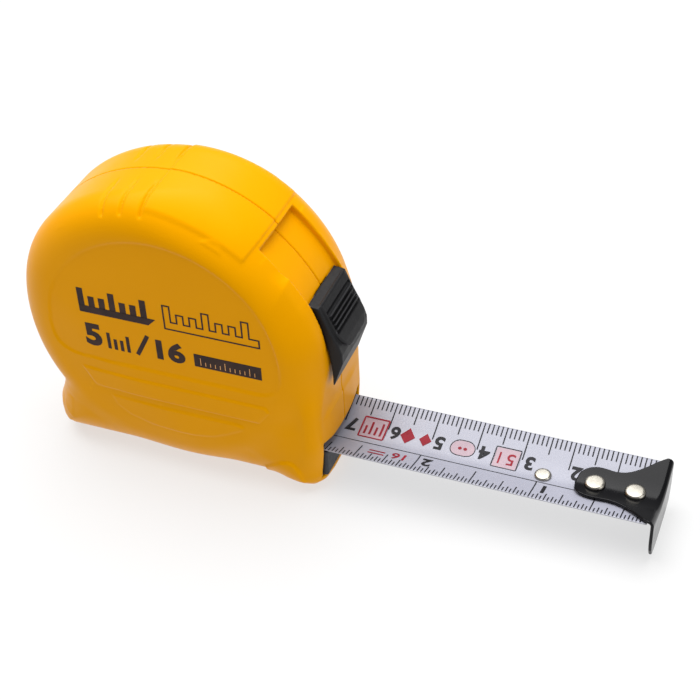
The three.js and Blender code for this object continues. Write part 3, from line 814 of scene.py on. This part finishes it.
def clip_path():
    """Middle of the clip's sheet in its (y, z) section: up the case, over, and down outside."""
    y0, top, r = 16.35, 56.0, 2.8
    c = y0 + r
    bend = top - CLIP_HALF_SHEET - r
    pts = [(y0, 42.45)]
    pts += [(c - r * math.cos(a), bend + r * math.sin(a)) for a in np.linspace(0, math.pi, 12)]
    pts += smooth([(21.95, 26.0), (18.6, 17.45), (18.55, 15.9), (20.2, 13.9)], 5, False)
    return pts


CLIP = path_distance(clip_path())


def clip_field(x, y, z):
    """Bent sheet, narrower below, with the screw's hole and, outside, one for its driver."""
    width = np.abs(x) - CLIP_HALF_WIDTH + 1.2 * step01(17.0, 13.5, z)
    d = plate(CLIP(y, z) - CLIP_HALF_SHEET, width, 0.25)
    hole = np.hypot(x, z - CLIP_SCREW[1])
    d = np.maximum(d, -np.maximum(hole - 1.6, y - 17.2))
    return smax(d, -np.maximum(hole - 3.2, 20.0 - y), 0.25)


field_piece("belt_clip_skin", clip_field, (-8.2, 15.4, 12.8), (8.2, 23.2, 56.6), 0.24, STEEL,
            "case", ["belt_clip"])


CROSS_HALF, CROSS_REACH, CROSS_DEEP = 0.34, 1.5, 0.75    # recess in a screw's head


def screw(name, node, centre, y, r, h, end, shank):
    """Pan head with a cross recess, facing +Y, and its shank."""
    def f(x, yy, z):
        a = np.hypot(x - centre[0], z - centre[1])
        head = np.maximum(plate(a - r, yy - y - h, 0.6), y - yy)
        body = np.maximum(np.maximum(a - shank, end - yy), yy - y - 0.5)
        ax, az = np.abs(x - centre[0]), np.abs(z - centre[1])
        cross = np.minimum(np.maximum(ax - CROSS_HALF, az - CROSS_REACH),
                           np.maximum(az - CROSS_HALF, ax - CROSS_REACH))
        cross = np.maximum(cross, y + h - CROSS_DEEP - yy)
        return smax(smin(head, body, 0.2), -cross, 0.2)
    reach = r + 0.5
    lo = (centre[0] - reach, end - 0.5, centre[1] - reach)
    hi = (centre[0] + reach, y + h + 0.5, centre[1] + reach)
    field_piece(name, f, lo, hi, 0.19, STEEL, "case", [node])


for i, c in enumerate(SCREWS):
    screw(f"case_screw_skin_{i + 1}", f"case_screw_{i + 1}", c, 11.5, 2.5, 1.5, -7.8, 1.2)
screw("clip_screw_skin", "clip_screw", CLIP_SCREW, 17.1, 2.6, 1.5, 12.6, 1.2)

# ---------------------------------------------------------------- floor, light, camera
me = bpy.data.meshes.new("floor")
corners = [(x, y, FLOOR_Z) for x, y in ((-12, -12), (12, -12), (12, 12), (-12, 12))]
me.from_pydata(corners, [], [(0, 1, 2, 3)])
floor = bpy.data.objects.new("floor", me)
bpy.context.scene.collection.objects.link(floor)
paper = moulded("pale_paper", (0.23, 0.23, 0.23), (0.25, 0.25, 0.25), (0.8, 0.9), 40, 0.02,
                spec=0.1, mottle=2)
glow = paper.node_tree.nodes["Principled BSDF"].inputs
glow["Emission Color"].default_value = (1, 1, 1, 1)
glow["Emission Strength"].default_value = 0.64
me.materials.append(paper)


def area(name, place, target, size, power, colour=(1, 1, 1)):
    li = bpy.data.lights.new(name, "AREA")
    li.shape, li.size, li.energy, li.color = "RECTANGLE", size[0], power, colour
    li.size_y = size[1]
    o = bpy.data.objects.new(name, li)
    o.location = place
    o.rotation_euler = (Vector(target) - Vector(place)).to_track_quat("-Z", "Y").to_euler()
    bpy.context.scene.collection.objects.link(o)


MID = (0.02, 0.0, 0.03)
area("key", (-0.12, 0.14, 0.85), MID, (1.1, 1.1), 16.0)
area("front_fill", (0.80, -0.10, 0.32), MID, (0.5, 0.4), 1.6)

world = bpy.data.worlds.new("studio")
world.use_nodes = True
world.node_tree.nodes["Background"].inputs["Color"].default_value = (1.0, 1.0, 1.0, 1)
world.node_tree.nodes["Background"].inputs["Strength"].default_value = 0.29
bpy.context.scene.world = world
bpy.context.scene.view_settings.view_transform = "Standard"

cam = bpy.data.cameras.new("camera")
cam.lens, cam.sensor_width = 78.97, 36.0
cam.clip_start, cam.clip_end = 0.01, 20
right, up, back = (Vector(v) for v in ((0.9334, 0.3567, -0.0392), (-0.1960, 0.5982, 0.7770),
                                       (0.3006, -0.7176, 0.6282)))
back.normalize()
right = (right - back * right.dot(back)).normalized()
up = back.cross(right)
co = bpy.data.objects.new("camera", cam)
co.matrix_world = Matrix(((right.x, up.x, back.x, 0.13242), (right.y, up.y, back.y, -0.22862),
                          (right.z, up.z, back.z, 0.23148), (0, 0, 0, 1)))
bpy.context.scene.collection.objects.link(co)
bpy.context.scene.camera = co
